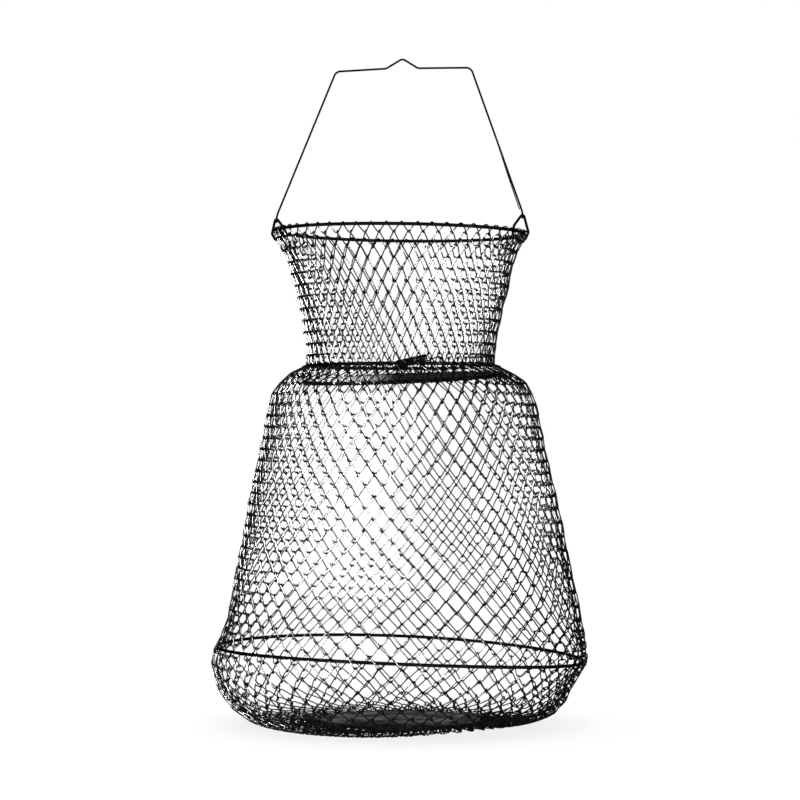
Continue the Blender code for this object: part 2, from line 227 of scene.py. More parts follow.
def tube(path, radius, across=None, sides=12, closed=False):
    """A round wire along path. Each ring is path + radius (cos a * first + sin a * second), where first is
    the part of across that is square to the path, and second is square to both."""
    path = np.asarray(path, float)
    ahead = np.roll(path, -1, axis=0)
    behind = np.roll(path, 1, axis=0)
    if not closed:
        ahead[-1] = path[-1]
        behind[0] = path[0]
    tangent = unit(ahead - behind)
    across = carried(tangent) if across is None else np.broadcast_to(np.asarray(across, float), path.shape)
    first = unit(across - (across * tangent).sum(axis=1, keepdims=True) * tangent)
    second = np.cross(tangent, first)
    turn = np.linspace(0, FULL, sides, endpoint=False)[None, :, None]
    reach = np.broadcast_to(np.asarray(radius, float), len(path))[:, None, None]
    rings = path[:, None] + reach * (np.cos(turn) * first[:, None] + np.sin(turn) * second[:, None])
    return rings.reshape(-1, 3), *ring_faces(len(path), sides, closed)


def turned(profile, steps=144):
    """A closed (radius, height) outline carried round Z: x = r cos a, y = r sin a."""
    profile = np.asarray(profile, float)
    turn = np.linspace(0, FULL, steps, endpoint=False)[:, None]
    radius, height = profile[None, :, 0], profile[None, :, 1] + 0 * turn
    points = np.stack([radius * np.cos(turn), radius * np.sin(turn), height], axis=-1)
    return points.reshape(-1, 3), *ring_faces(steps, len(profile), True)


def make_piece(name, shapes, material, body, replaces=(), smooth=35.0):
    """One object from several (points, quads, end faces) shapes, at the origin, riding on a body of the
    frame. A fourth array in a shape says how shiny its points are, from 0, dull and dark, to 1."""
    points, faces, start = [], [], 0
    for shape_points, quads, ends, *_ in shapes:
        points.append(shape_points)
        faces += (quads + start).tolist() + (ends + start).tolist()
        start += len(shape_points)
    mesh = bpy.data.meshes.new(name)
    mesh.from_pydata(np.concatenate(points).tolist(), [], faces)
    # The shine share, which the mesh's material uses for its dull dark bends and for painted shade
    if len(shapes[0]) > 3:
        clean = mesh.attributes.new("clean", "FLOAT", "POINT")
        clean.data.foreach_set("value", np.concatenate([shape[3] for shape in shapes]))
    mesh.materials.append(material)
    mesh.shade_smooth()
    mesh.set_sharp_from_angle(angle=math.radians(smooth))
    piece = bpy.data.objects.new(name, mesh)
    bpy.context.scene.collection.objects.link(piece)
    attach(piece, body)
    if replaces:
        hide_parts(*replaces)
    return piece


# Paths


def circle(radius, height, count=220):
    """A circle round Z at a height, which may differ from point to point."""
    turn = np.linspace(0, FULL, count, endpoint=False)
    return np.stack([radius * np.cos(turn), radius * np.sin(turn), height + 0 * turn], axis=1)


def rounded(corners, radii, steps=10):
    """A path through corners, with each inner corner turned as an arc of its own radius."""
    corners = [np.asarray(corner, float) for corner in corners]
    path = [corners[0][None]]
    for before, corner, after, radius in zip(corners, corners[1:], corners[2:], radii):
        back, ahead = unit(before - corner), unit(after - corner)
        half = math.acos(np.clip(back @ ahead, -1, 1)) / 2
        centre = corner + unit(back + ahead) * radius / math.sin(half)
        start = corner + back * radius / math.tan(half) - centre
        end = corner + ahead * radius / math.tan(half) - centre
        sweep = math.pi - 2 * half
        share = np.linspace(0, 1, steps + 1)[:, None]
        arc = (np.sin((1 - share) * sweep) * start + np.sin(share * sweep) * end) / math.sin(sweep)
        path.append(centre + arc)
    path.append(corners[-1][None])
    return np.concatenate(path)


def belt(circles, steps=14):
    """The outline of a belt run anticlockwise round circles, each ((x, z), radius), as (x, z) points: arcs
    joined by the outer tangent lines."""
    centres = [np.array(centre) for centre, _ in circles]
    radii = [radius for _, radius in circles]
    count = len(circles)
    normals = []
    for i in range(count):
        run = centres[(i + 1) % count] - centres[i]
        length = np.linalg.norm(run)
        lean = (radii[i] - radii[(i + 1) % count]) / length
        normals.append(run / length * lean + np.array([run[1], -run[0]]) / length * math.sqrt(1 - lean**2))
    path = []
    for i in range(count):
        start = math.atan2(normals[i - 1][1], normals[i - 1][0])
        turn = (math.atan2(normals[i][1], normals[i][0]) - start) % FULL
        angle = start + turn * np.linspace(0, 1, steps + 1)
        path.append(centres[i] + radii[i] * np.stack([np.cos(angle), np.sin(angle)], axis=1))
    return np.concatenate(path)


# The mesh's surface


def smooth_profile(samples=24):
    """A Catmull-Rom curve through PROFILE: its length, radius, height and outward normal at each sample."""
    stations = np.array(PROFILE) * MM
    before, after = 2 * stations[:1] - stations[1:2], 2 * stations[-1:] - stations[-2:-1]
    padded = np.concatenate([before, stations, after])
    a, b, c, d = padded[:-3], padded[1:-2], padded[2:-1], padded[3:]
    t = np.linspace(0, 1, samples, endpoint=False)[:, None, None]
    square, cube = (2 * a - 5 * b + 4 * c - d) * t**2, (3 * b - a - 3 * c + d) * t**3
    curve = 0.5 * (2 * b + (c - a) * t + square + cube)
    curve = np.concatenate([curve.transpose(1, 0, 2).reshape(-1, 2), stations[-1:]])
    run = np.gradient(curve, axis=0)
    normal = unit(np.stack([-run[:, 1], run[:, 0]], axis=1))
    length = np.concatenate([[0], np.cumsum(np.linalg.norm(np.diff(curve, axis=0), axis=1))])
    return length, curve[:, 0], curve[:, 1], normal


LENGTH, RADIUS, HEIGHT, NORMAL = smooth_profile()


def length_at(height):
    """How far down the mesh a height above the floor lies."""
    return float(np.interp(-height, -HEIGHT, LENGTH))


def lengths_at(heights):
    """How far down the mesh several heights lie, given in millimetres."""
    return [length_at(height * MM) for height in heights]


# By what share of their full ride the coils of the upper body ride up, and how far the coils on the right
# are pushed down on to the body hoop
RIDE = (lengths_at((316.0, 300.0, 290.0, 166.0)), [0.0, 0.8, 1.0, 0.0])
BUNCH = (lengths_at((200.0, 112.0, 68.0)), [0.0, 22.0 * MM, 0.0])


def rim_rise(angle):
    """How far the rim hoop stands over its mean height: it leans down to the right by under a degree."""
    return -1.5 * MM * np.cos(angle)


def neck_rise(angle):
    """How far the neck hoop stands over its mean height: it is tipped half a degree up at the front."""
    return -0.75 * MM * np.sin(angle)


def hoop_rise(angle):
    """How far the bent body hoop stands over its mean height: it hangs low on the right, high on the left."""
    return (1.65 - 6.7 * np.cos(angle) - 1.75 * np.cos(2 * angle)) * MM


def settle(radius, height, angle):
    """The basket's slump. It follows the hoops near them and bulges sideways by BULGE. Between hoops its
    radius has a slow wave of 0.5 mm and a quick one of 0.8 mm, and its coils drift round by 0.006 radians,
    and by 0.022 near the floor. Its right front edge is curled 4.4 mm up off the floor."""
    below_neck = np.clip((NECK_Z - height) / (NECK_Z - BODY_Z), 0, 1) ** 2
    above_floor = np.clip(height / BODY_Z, 0, 1) ** 2
    rise = np.where(height > BODY_Z, below_neck, above_floor) * hoop_rise(angle)
    heights, bulges = np.array(BULGE).T * MM
    bulge = np.interp(height, heights, bulges) * np.clip(radius / BODY_RADIUS - 0.4, 0, 0.2) / 0.2
    hoops = np.abs(height - NECK_Z) * np.abs(height - BODY_Z) * np.abs(height - RIM_Z)
    steady = np.clip(hoops / 2e-5, 0, 1)
    wave = np.sin(3 * angle + 30 * height) * np.sin(50 * height + 1.0) * 0.5 * MM
    wave = wave + np.sin(23 * angle + 310 * height) * np.sin(31 * angle - 250 * height + 2) * 0.8 * MM
    lean = np.clip((height - 0.415) / 0.020, 0, 1) * rim_rise(angle)
    tip = np.clip(1 - np.abs(height - NECK_Z) / 0.018, 0, 1) * neck_rise(angle)
    edge = np.clip((radius - 0.076) / 0.045, 0, 1) * np.clip(1 - height / 0.045, 0, 1)
    curl = 4.4 * MM * edge * np.clip(np.cos(angle + 0.85), 0, 1) ** 4
    drift = np.sin(19 * angle + 180 * height) * np.sin(13 * angle - 270 * height + 1) * 0.006 * steady
    drift = drift + 0.022 * np.clip(1 - height / 0.050, 0, 1) * np.sin(6 * angle + 125 * radius)
    return radius + bulge * np.cos(angle) + wave * steady, height + rise + lean + tip + curl, angle + drift


def on_mesh(length, offset, angle):
    """The point that lies length down the mesh, offset outwards from its middle, and angle round. The upper
    body's coils ride up towards the back, and over the body hoop they bunch on the right."""
    ride = np.interp(length, *RIDE) * (3.9 * np.sin(angle) ** 2 + 2.9 * np.sin(angle)) * MM
    length = length - ride + np.interp(length, *BUNCH) * np.clip(np.cos(angle), 0, 1) ** 4
    radius = np.interp(length, LENGTH, RADIUS)
    height = np.interp(length, LENGTH, HEIGHT)
    out = np.interp(length, LENGTH, NORMAL[:, 0])
    up = np.interp(length, LENGTH, NORMAL[:, 1])
    radius, height, angle = settle(radius, height, angle)
    radius, height = radius + offset * out, height + offset * up
    return np.stack([radius * np.cos(angle), radius * np.sin(angle), height], axis=-1)


def on_door(points):
    """Points of the flat door, centred on its hoop, turned about the hinge and set under the neck hoop."""
    hinge = math.sqrt(DOOR_RADIUS**2 - HINGE_HALF**2)
    x, y, z = points[:, 0], points[:, 1] - hinge, points[:, 2]
    pitch = np.array([math.cos(DOOR_PITCH), math.sin(DOOR_PITCH)])
    roll = np.array([math.cos(DOOR_ROLL), math.sin(DOOR_ROLL)])
    y, z = y * pitch[0] - z * pitch[1], y * pitch[1] + z * pitch[0]
    x, z = x * roll[0] - z * roll[1], x * roll[1] + z * roll[0]
    return np.stack([x, y + hinge, z + HINGE_Z], axis=1)


# Coils


def flat_coil(reach, half_thickness):
    """One turn of a flattened coil: (share of the turn, distance down, distance out, how far down and how
    far out the side faces, how shiny it is). Two straight strands are joined by half ellipses, half_thickness
    by BEND, and a bend goes sideways at half a strand's pace. Bends and the ends of strands are dull and
    dark."""
    depth = min(half_thickness, BEND)
    straight = 2 * (reach - depth)
    bend = math.pi * math.sqrt((half_thickness**2 + depth**2) / 2) / 2
    angle = np.radians([-90.0, -90, -45, 0, 45, 90, 90])
    inset = straight * np.array([DULL_ENDS, 0, 0, 0, 0, 0, DULL_ENDS])
    down = inset - (reach - depth) - depth * np.cos(angle)
    out = half_thickness * np.sin(angle)
    walked = bend * angle / math.pi + np.sign(angle) * inset
    face = unit(np.stack([-np.cos(angle) * half_thickness, np.sin(angle) * depth], axis=1))
    both = [np.concatenate([half, -half]) for half in (down, out, face[:, 0], face[:, 1])]
    walked = np.concatenate([walked, straight + bend + walked])
    return (walked / (2 * straight + 2 * bend), *both, np.tile([1, 0, 0, 0, 0, 0, 1], 2))


def shine_and_shade_at(points, angle):
    """How shiny the mesh is at each point, from 0 to 1: by height as the table of heights and shares says,
    shinier in patches low on the left front and on the left of the funnel and shoulder as painted highlight,
    where the lamps glint on it, and dull dark wire on the right by the body hoop as painted shade."""
    x, y, z = points.T
    heights, shares = np.array(SHINE_AND_SHADE).T
    shares = np.interp(z, heights * MM, shares)
    # Painted highlight: shiny patches low on the left front and on the left of the funnel and shoulder
    patches = np.clip(0.5 + 2 * np.sin(41 * angle + 500 * z) * np.sin(29 * angle - 380 * z), 0, 1)
    low = np.interp(-x, (0.030, 0.090), (0, 1)) * patches * (y < 0.03) * (z < 0.050)
    funnel, shoulder = np.interp(-x, (0.0, 0.060), (0, 1)), (x < -0.088) * (z > 0.290)
    high = np.where(z > 0.311, funnel, shoulder) * (z < 0.419)
    # Painted shade: dull dark wire on the right by the body hoop
    right = np.interp(x, (0.090, 0.115), (0, 1)) * np.interp(z, (0.050, 0.060, 0.160, 0.200), (0, 1, 1, 0))
    return (shares + (1 - shares) * (low + high)) * (1 - right)


def coil_row(top, bottom, phase, half_thickness, inward, net, straight):
    """One spiral wire round the basket: a flattened coil of net.turns turns between two lengths down the
    mesh, its middle set inward from the mesh's own. A straight one spans the chord between the two, and any
    other follows the mesh's curve. The last array returned is how shiny each of its points is, low where
    shade is painted."""
    share, down, out, face_down, face_out, clean = flat_coil((bottom - top) / 2, half_thickness)
    turn = np.arange(net.turns)[:, None]
    angle = ((turn + share[None, :] + phase) * FULL / net.turns).ravel()
    length = np.tile((top + bottom) / 2 + down, net.turns)
    offset = np.tile(out - inward, net.turns)
    face_down, face_out = np.tile(face_down, net.turns)[:, None], np.tile(face_out, net.turns)[:, None]
    if straight:
        upper, lower = on_mesh(top, 0.0, angle), on_mesh(bottom, 0.0, angle)
        chord = unit(lower - upper)
        outward = unit(np.cross(chord, np.stack([-np.sin(angle), np.cos(angle), 0 * angle], axis=1)))
        along = ((length - top) / (bottom - top))[:, None]
        path = upper + (lower - upper) * along + outward * offset[:, None]
        side = chord * face_down + outward * face_out
    else:
        step = 0.2 * MM
        path = on_mesh(length, offset, angle)
        side = on_mesh(length + step * face_down[:, 0], offset + step * face_out[:, 0], angle) - path
    # Shine share: the dull bends times the painted shade and painted highlight of the mesh's regions
    clean = np.tile(clean, net.turns) * shine_and_shade_at(path, angle)
    return *tube(path, net.wire / 2, side, sides=COIL_SIDES, closed=True), np.repeat(clean, COIL_SIDES)


def spaced(first, last, steps):
    """Levels from first to last, the distances between them in proportion to steps."""
    return first + (last - first) * np.concatenate([[0], np.cumsum(steps) / np.sum(steps)])


def row_levels(net):
    """The lengths down the mesh at which its coils hook into each other, from the rim to the base plate, and
    the numbers of the row that hangs from the neck hoop and of the row that holds the body hoop."""
    funnel = lengths_at(FUNNEL_LINKS)
    even = np.linspace(*BODY_STEPS, net.body_rows - len(SHOULDER_STEPS))
    body_steps = np.concatenate([SHOULDER_STEPS, even])
    body = spaced(length_at(FIRST_BODY_LINK), length_at(LAST_BODY_LINK), body_steps)
    bottom_steps = np.linspace(*BOTTOM_STEPS, net.bottom_rows)
    bottom = spaced(length_at(FIRST_BOTTOM_LINK), length_at(LAST_BOTTOM_LINK), bottom_steps)
    levels = np.concatenate([[length_at(RIM_Z)], funnel, [length_at(NECK_Z)], body, bottom])
    under_neck = len(funnel) + 1
    return levels, under_neck, under_neck + 1 + net.body_rows


def mesh_rows(net, levels, under_neck, holding):
    """Every spiral wire of the mesh, from the rim down. Four are wound round the hoops, thick enough to hold
    them. The others are straight, with their outer sides on one surface, and the last are pressed flat."""
    half = net.thickness / 2
    hold = HOOP_WIRE + net.wire / 2 + GAP
    pressed = len(levels) - 1 - len(PRESSED)
    rows = []
    for k, (top, low) in enumerate(zip(levels, levels[1:])):
        top_bend = top - (hold if k in (0, under_neck) else net.hook)
        low_bend = low + (hold if k == under_neck - 1 else net.hook)
        straight = k not in (0, under_neck - 1, under_neck, holding)
        thick, inward = hold, 0.0
        if k >= pressed:
            thick = OUTER_FACE * PRESSED[k - pressed]
        elif straight:
            radius = np.interp((top + low) / 2, LENGTH, RADIUS)
            squeezed = np.interp(radius, (NECK_RADIUS, BODY_RADIUS), SQUEEZED)
            share = max(0, min(1, (k - holding) / (pressed - 1 - holding)))
            thick = half * (squeezed if k < holding else 1 + LOOSENED * math.sin(math.pi * share))
            inward = thick - OUTER_FACE
        rows.append(coil_row(top_bend, low_bend, PHASES[k % 2], thick, inward, net, straight))
    return rows


# Finishes


def noise(nodes, links, coordinates, scale, detail):
    """A noise texture over the object's own coordinates."""
    texture = nodes.new("ShaderNodeTexNoise")
    texture.inputs["Scale"].default_value = scale
    texture.inputs["Detail"].default_value = detail
    links.new(coordinates, texture.inputs["Vector"])
    return texture.outputs["Fac"]


def ramp(nodes, links, source, stops):
    """A ramp of greys over source, each stop a (place, grey)."""
    node = nodes.new("ShaderNodeValToRGB")
    while len(node.color_ramp.elements) < len(stops):
        node.color_ramp.elements.new(1.0)
    for element, (place, grey) in zip(node.color_ramp.elements, stops):
        element.position = place
        element.color = (grey, grey, grey, 1)
    links.new(source, node.inputs["Fac"])
    return node.outputs["Color"]


def mixed(nodes, links, factor, low, high):
    """A colour between low and high by factor. Each of the two is a colour or another node's output."""
    mix = nodes.new("ShaderNodeMix")
    mix.data_type = "RGBA"
    links.new(factor, mix.inputs["Factor"])
    for name, colour in (("A", low), ("B", high)):
        if isinstance(colour, bpy.types.NodeSocket):
            links.new(colour, mix.inputs[name])
        else:
            mix.inputs[name].default_value = (*colour, 1)
    return mix.outputs["Result"]


def between(nodes, links, source, start, end):
    """0 where source is at start, 1 where it is at end."""
    place = nodes.new("ShaderNodeMapRange")
    place.inputs["From Min"].default_value = start
    place.inputs["From Max"].default_value = end
    links.new(source, place.inputs["Value"])
    return place.outputs["Result"]


def beyond(nodes, links, coordinates, edge):
    """0 within edge of the Z axis, and 1 further out than that by BEAD_FADE."""
    flat = nodes.new("ShaderNodeVectorMath")
    flat.operation = "MULTIPLY"
    flat.inputs[1].default_value = (1, 1, 0)
    links.new(coordinates, flat.inputs[0])
    reach = nodes.new("ShaderNodeVectorMath")
    reach.operation = "LENGTH"
    links.new(flat.outputs["Vector"], reach.inputs[0])
    return between(nodes, links, reach.outputs["Value"], edge, edge + BEAD_FADE)


def shade_along_axis(nodes, links, coordinates, colour, axis, start, end, stops):
    """Painted shade: a colour scaled along an axis by the stops' shares, each a (place between start and end,
    share).
    """
    across = nodes.new("ShaderNodeSeparateXYZ")
    links.new(coordinates, across.inputs[0])
    place = between(nodes, links, across.outputs[axis], start, end)
    shares = ramp(nodes, links, place, [((spot - start) / (end - start), share) for spot, share in stops])
    dimmed = nodes.new("ShaderNodeVectorMath")
    dimmed.operation = "SCALE"
    links.new(colour, dimmed.inputs[0])
    links.new(shares, dimmed.inputs["Scale"])
    return dimmed.outputs["Vector"]


def metal(name, colour, worn, roughness, spread, bump, scale, edge=None, bare=None, painted_shade=None, dull_shade=None):
    """Wire or sheet with a mottled colour, paler rubbed spots, uneven gloss and a fine drawn surface. With
    edge, a radius, it is a painted sheet with the colour bare and a metal's shine beyond it. With painted
    shade given as (axis, start, end, stops), the colour is darkened along that axis by the stops' shares.
    With a dull colour given last, the wire is dull and dark in that colour where the mesh's shine share
    attribute is 0, which is painted shade away from the bends, and shiny metal where it is 1."""
    material = bpy.data.materials.new(name)
    material.use_nodes = True
    nodes, links = material.node_tree.nodes, material.node_tree.links
    shader = nodes["Principled BSDF"]
    coordinates = nodes.new("ShaderNodeTexCoord").outputs["Object"]
    spots = (0.55, 0.78) if edge is None else (0.42, 0.62)
    mottle = ramp(nodes, links, noise(nodes, links, coordinates, scale, 4.0), ((spots[0], 0), (spots[1], 1)))
    fine = noise(nodes, links, coordinates, scale * 14, 2.0)
    surface = mixed(nodes, links, mottle, colour, worn)
    if edge is None:
        shader.inputs["Metallic"].default_value = 1.0
        shader.inputs["Specular Tint"].default_value = (0, 0, 0, 1)
    else:
        shader.inputs["Specular IOR Level"].default_value = 0.0
        outside = beyond(nodes, links, coordinates, edge)
        links.new(outside, shader.inputs["Metallic"])
        surface = mixed(nodes, links, outside, surface, bare)
    # Painted shade, darkening the colour along one axis
    if painted_shade is not None:
        surface = shade_along_axis(nodes, links, coordinates, surface, *painted_shade)
    # Painted shade: where the shine share is 0 the wire is a dull dark colour with no metal shine
    if dull_shade is not None:
        clean = nodes.new("ShaderNodeAttribute")
        clean.attribute_name = "clean"
        surface = mixed(nodes, links, clean.outputs["Fac"], dull_shade, surface)
        links.new(clean.outputs["Fac"], shader.inputs["Metallic"])
        shader.inputs["Specular IOR Level"].default_value = 0.0
    links.new(surface, shader.inputs["Base Color"])
    gloss = ramp(nodes, links, fine, ((0.35, roughness - spread), (0.65, roughness + spread)))
    links.new(gloss, shader.inputs["Roughness"])
    relief = nodes.new("ShaderNodeBump")
    relief.inputs["Strength"].default_value = 0.25
    relief.inputs["Distance"].default_value = bump
    links.new(fine, relief.inputs["Height"])
    links.new(relief.outputs["Normal"], shader.inputs["Normal"])
    return material


# Settings


class KEEPNET_PG_net(bpy.types.PropertyGroup):
    """Sizes of the spiral wire mesh."""

    turns: bpy.props.IntProperty(
        name="Turns", description="Turns of each spiral wire round the basket", default=53, min=24, max=90
    )
    wire: bpy.props.FloatProperty(
        name="Wire", description="Thickness of the mesh wire", default=1.18 * MM, subtype="DISTANCE",
        unit="LENGTH",
    )
    thickness: bpy.props.FloatProperty(
        name="Coil", description="Thickness of a flattened coil, to the middle of its wire", default=3.4 * MM,
        subtype="DISTANCE", unit="LENGTH",
    )
    hook: bpy.props.FloatProperty(
        name="Hook", description="How far neighbouring coils reach past each other", default=0.66 * MM,
        subtype="DISTANCE", unit="LENGTH",
    )
    body_rows: bpy.props.IntProperty(
        name="Body rows", description="Coils from the neck to the body hoop", default=26, min=8, max=40
    )
    bottom_rows: bpy.props.IntProperty(
        name="Bottom rows", description="Coils from the body hoop down", default=16, min=8, max=24
    )


class KEEPNET_PG_finish(bpy.types.PropertyGroup):
    """Colours of the metals."""

    wire: bpy.props.FloatVectorProperty(
        name="Hoop wire", description="Colour of the hoops, ears and bail", default=(0.012, 0.012, 0.0125),
        subtype="COLOR", size=3, min=0, max=1,
    )
    net: bpy.props.FloatVectorProperty(
        name="Mesh wire", description="Colour of the mesh", default=(0.026, 0.026, 0.0265), subtype="COLOR",
        size=3, min=0, max=1,
    )
    # The dull dark colour the mesh takes where its shine share is 0: painted shade by the floor, round the
    # neck, by the rim and on the right by the body hoop, and the bends' own dull colour
    dull_shade: bpy.props.FloatVectorProperty(
        name="Dirt", description="Colour of the dull dirt on the mesh", default=(0.012, 0.012, 0.0122),
        subtype="COLOR", size=3, min=0, max=1,
    )
    plate: bpy.props.FloatVectorProperty(
        name="Base plate", description="Colour of the base plate", default=(0.060, 0.060, 0.062),
        subtype="COLOR", size=3, min=0, max=1,
    )
    bead: bpy.props.FloatVectorProperty(
        name="Bead", description="Colour of the base plate's bare edge", default=(0.04, 0.04, 0.041),
        subtype="COLOR", size=3, min=0, max=1,
    )
    roughness: bpy.props.FloatProperty(
        name="Roughness", description="Roughness of the mesh wire", default=0.22, min=0, max=1,
        subtype="FACTOR",
    )


class KEEPNET_PG_stage(bpy.types.PropertyGroup):
    """The floor, the light and the camera."""

    floor: bpy.props.FloatVectorProperty(
        name="Floor", description="Colour of the floor", default=(0.84, 0.84, 0.84), subtype="COLOR",
        size=3, min=0, max=1,
    )
    world: bpy.props.FloatProperty(
        name="World", description="Strength of the light from the white surroundings", default=0.3, min=0
    )
    distance: bpy.props.FloatProperty(
        name="Distance", description="From the camera to the basket's axis", default=2.37, unit="LENGTH",
        subtype="DISTANCE",
    )
    eye: bpy.props.FloatProperty(
        name="Eye height", description="Height of the camera", default=0.27, unit="LENGTH", subtype="DISTANCE"
    )
    lens: bpy.props.FloatProperty(
        name="Lens", description="Focal length in millimetres", default=119.5, unit="CAMERA"
    )


class KEEPNET_PG_all(bpy.types.PropertyGroup):
    """Everything that can be changed."""

    net: bpy.props.PointerProperty(type=KEEPNET_PG_net, name="Net", description="Spiral wire mesh")
    finish: bpy.props.PointerProperty(type=KEEPNET_PG_finish, name="Finish", description="Metals")
    stage: bpy.props.PointerProperty(
        type=KEEPNET_PG_stage, name="Stage", description="Floor, light and camera"
    )


# The stage


def pale_floor(colour):
    """A wide, dull floor at height 0."""
    material = bpy.data.materials.new("pale_floor")
    material.use_nodes = True
    shader = material.node_tree.nodes["Principled BSDF"]
    shader.inputs["Base Color"].default_value = (*colour, 1)
    shader.inputs["Roughness"].default_value = 0.9
    reach = 12.0
    corners = [(-reach, -reach, 0), (reach, -reach, 0), (reach, reach, 0), (-reach, reach, 0)]
    mesh = bpy.data.meshes.new("floor")
    mesh.from_pydata(corners, [], [(0, 1, 2, 3)])
    mesh.materials.append(material)
    floor = bpy.data.objects.new("floor", mesh)
    bpy.context.scene.collection.objects.link(floor)
    return floor


def white_world(strength):
    """White surroundings that look full white and give light of a lower strength."""
    world = bpy.data.worlds.new("white_room")
    world.use_nodes = True
    nodes, links = world.node_tree.nodes, world.node_tree.links
    background = nodes["Background"]
    background.inputs["Color"].default_value = (1, 1, 1, 1)
    seen = nodes.new("ShaderNodeMapRange")
    seen.inputs["To Min"].default_value = strength
    seen.inputs["To Max"].default_value = 1.0
    links.new(nodes.new("ShaderNodeLightPath").outputs["Is Camera Ray"], seen.inputs["Value"])
    links.new(seen.outputs["Result"], background.inputs["Strength"])
    bpy.context.scene.world = world


def lit_group(name, floor, with_floor):
    """What a lamp lights: the floor alone, or all but the floor, until pieces are linked to the group."""
    group = bpy.data.collections.new(name)
    group.objects.link(floor)
    if not with_floor:
        group.collection_objects[0].light_linking.link_state = "EXCLUDE"
    return group


def soft_lamps(floor):
    """Strong lamps from the front and the left for the shine of the mesh alone, a weak one for all but the
    floor, and one for the floor. The last two cast no shadows."""
    net_only = lit_group("net_only", floor, False)
    others = {"over": lit_group("off_floor", floor, False), "top": lit_group("floor_only", floor, True)}
    for name, strength, spread, elevation, azimuth in LAMPS:
        lamp = bpy.data.lights.new(name, "SUN")
        lamp.energy = strength
        lamp.angle = math.radians(spread)
        lamp.use_shadow = name not in others
        light = bpy.data.objects.new(name, lamp)
        light.rotation_euler = (math.radians(90 - elevation), 0, math.radians(azimuth))
        light.visible_diffuse = name in others
        light.light_linking.receiver_collection = others.get(name, net_only)
        bpy.context.scene.collection.objects.link(light)


def eye_level_camera(stage):
    """A long lens straight in front of the basket."""
    lens = bpy.data.cameras.new("camera")
    lens.lens = stage.lens
    lens.sensor_width = 36
    camera = bpy.data.objects.new("camera", lens)
    camera.location = (CAMERA_X, -stage.distance, stage.eye)
    camera.rotation_euler = (math.radians(90 + CAMERA_PITCH), 0, 0)
    bpy.context.scene.collection.objects.link(camera)
    bpy.context.scene.camera = camera


class KEEPNET_OT_stage(bpy.types.Operator):
    """Make the floor, the lights and the camera"""

    bl_idname = "keepnet.stage"
    bl_label = "Stage"

    def execute(self, context):
        stage = context.scene.keepnet.stage
        floor = pale_floor(stage.floor)
        white_world(stage.world)
        soft_lamps(floor)
        eye_level_camera(stage)
        context.scene.view_settings.view_transform = "Standard"
        return {"FINISHED"}


# The net's pieces


class KEEPNET_OT_finishes(bpy.types.Operator):
    """Make the metals' materials"""

    bl_idname = "keepnet.finishes"
    bl_label = "Finishes"

    def execute(self, context):
        finish = context.scene.keepnet.finish
        smooth, satin = finish.roughness, finish.roughness + 0.13
        black, door_grey, sheet_grey = (0.040, 0.040, 0.042), (0.060, 0.060, 0.061), (0.22, 0.22, 0.225)
        # Painted shade: the door is darkened from a little left of its middle towards its right
        door_painted_shade = ("X", -0.08, 0.08, ((-0.050, 1.0), (-0.005, 0.06)))
        # Painted shade: the plate's front half is darkened, all but its outer front edge
        sheet_painted_shade = ("Y", -0.08, 0.08, ((-0.069, 1.0), (-0.066, 0.4), (-0.055, 0.08), (0.005, 1.0)))
        metal("black_wire", finish.wire, black, satin, 0.08, 0.06 * MM, 60.0)
        metal(
            "mesh_wire", finish.net, (0.040, 0.040, 0.041), smooth, 0.08, 0.05 * MM, 45.0, dull_shade=finish.dull_shade
        )
        metal("door_wire", door_grey, (0.11, 0.11, 0.112), satin, 0.08, 0.05 * MM, 70.0, painted_shade=door_painted_shade)
        metal("spring_wire", finish.wire, (0.020, 0.020, 0.021), satin, 0.06, 0.04 * MM, 90.0)
        metal(
            "grey_sheet", finish.plate, sheet_grey, 0.62, 0.10, 0.08 * MM, 40.0, edge=SHEET_EDGE,
            bare=finish.bead, painted_shade=sheet_painted_shade,
        )
        return {"FINISHED"}


class KEEPNET_OT_hoops(bpy.types.Operator):
    """Make the rim hoop, the neck hoop and the body hoop"""

    bl_idname = "keepnet.hoops"
    bl_label = "Hoops"

    def execute(self, context):
        black = bpy.data.materials["black_wire"]
        turn = np.linspace(0, FULL, 220, endpoint=False)
        rim = RIM_Z + rim_rise(turn)
        neck = NECK_Z + neck_rise(turn)
        # The body hoop lies high in its row of coils at the front and low at the back
        bent = BODY_Z + hoop_rise(turn) - 1.45 * MM * np.sin(turn)
        for name, body, radius, height in (
            ("rim_hoop_wire", "rim", RIM_RADIUS, rim),
            ("neck_hoop_wire", "neck", NECK_RADIUS, neck),
            ("body_hoop_wire", "body_ring", BODY_RADIUS, bent),
        ):
            shape = tube(circle(radius, height), HOOP_WIRE, (0, 0, 1), closed=True)
            make_piece(name, [shape], black, body, [name.removesuffix("_wire")])
        return {"FINISHED"}


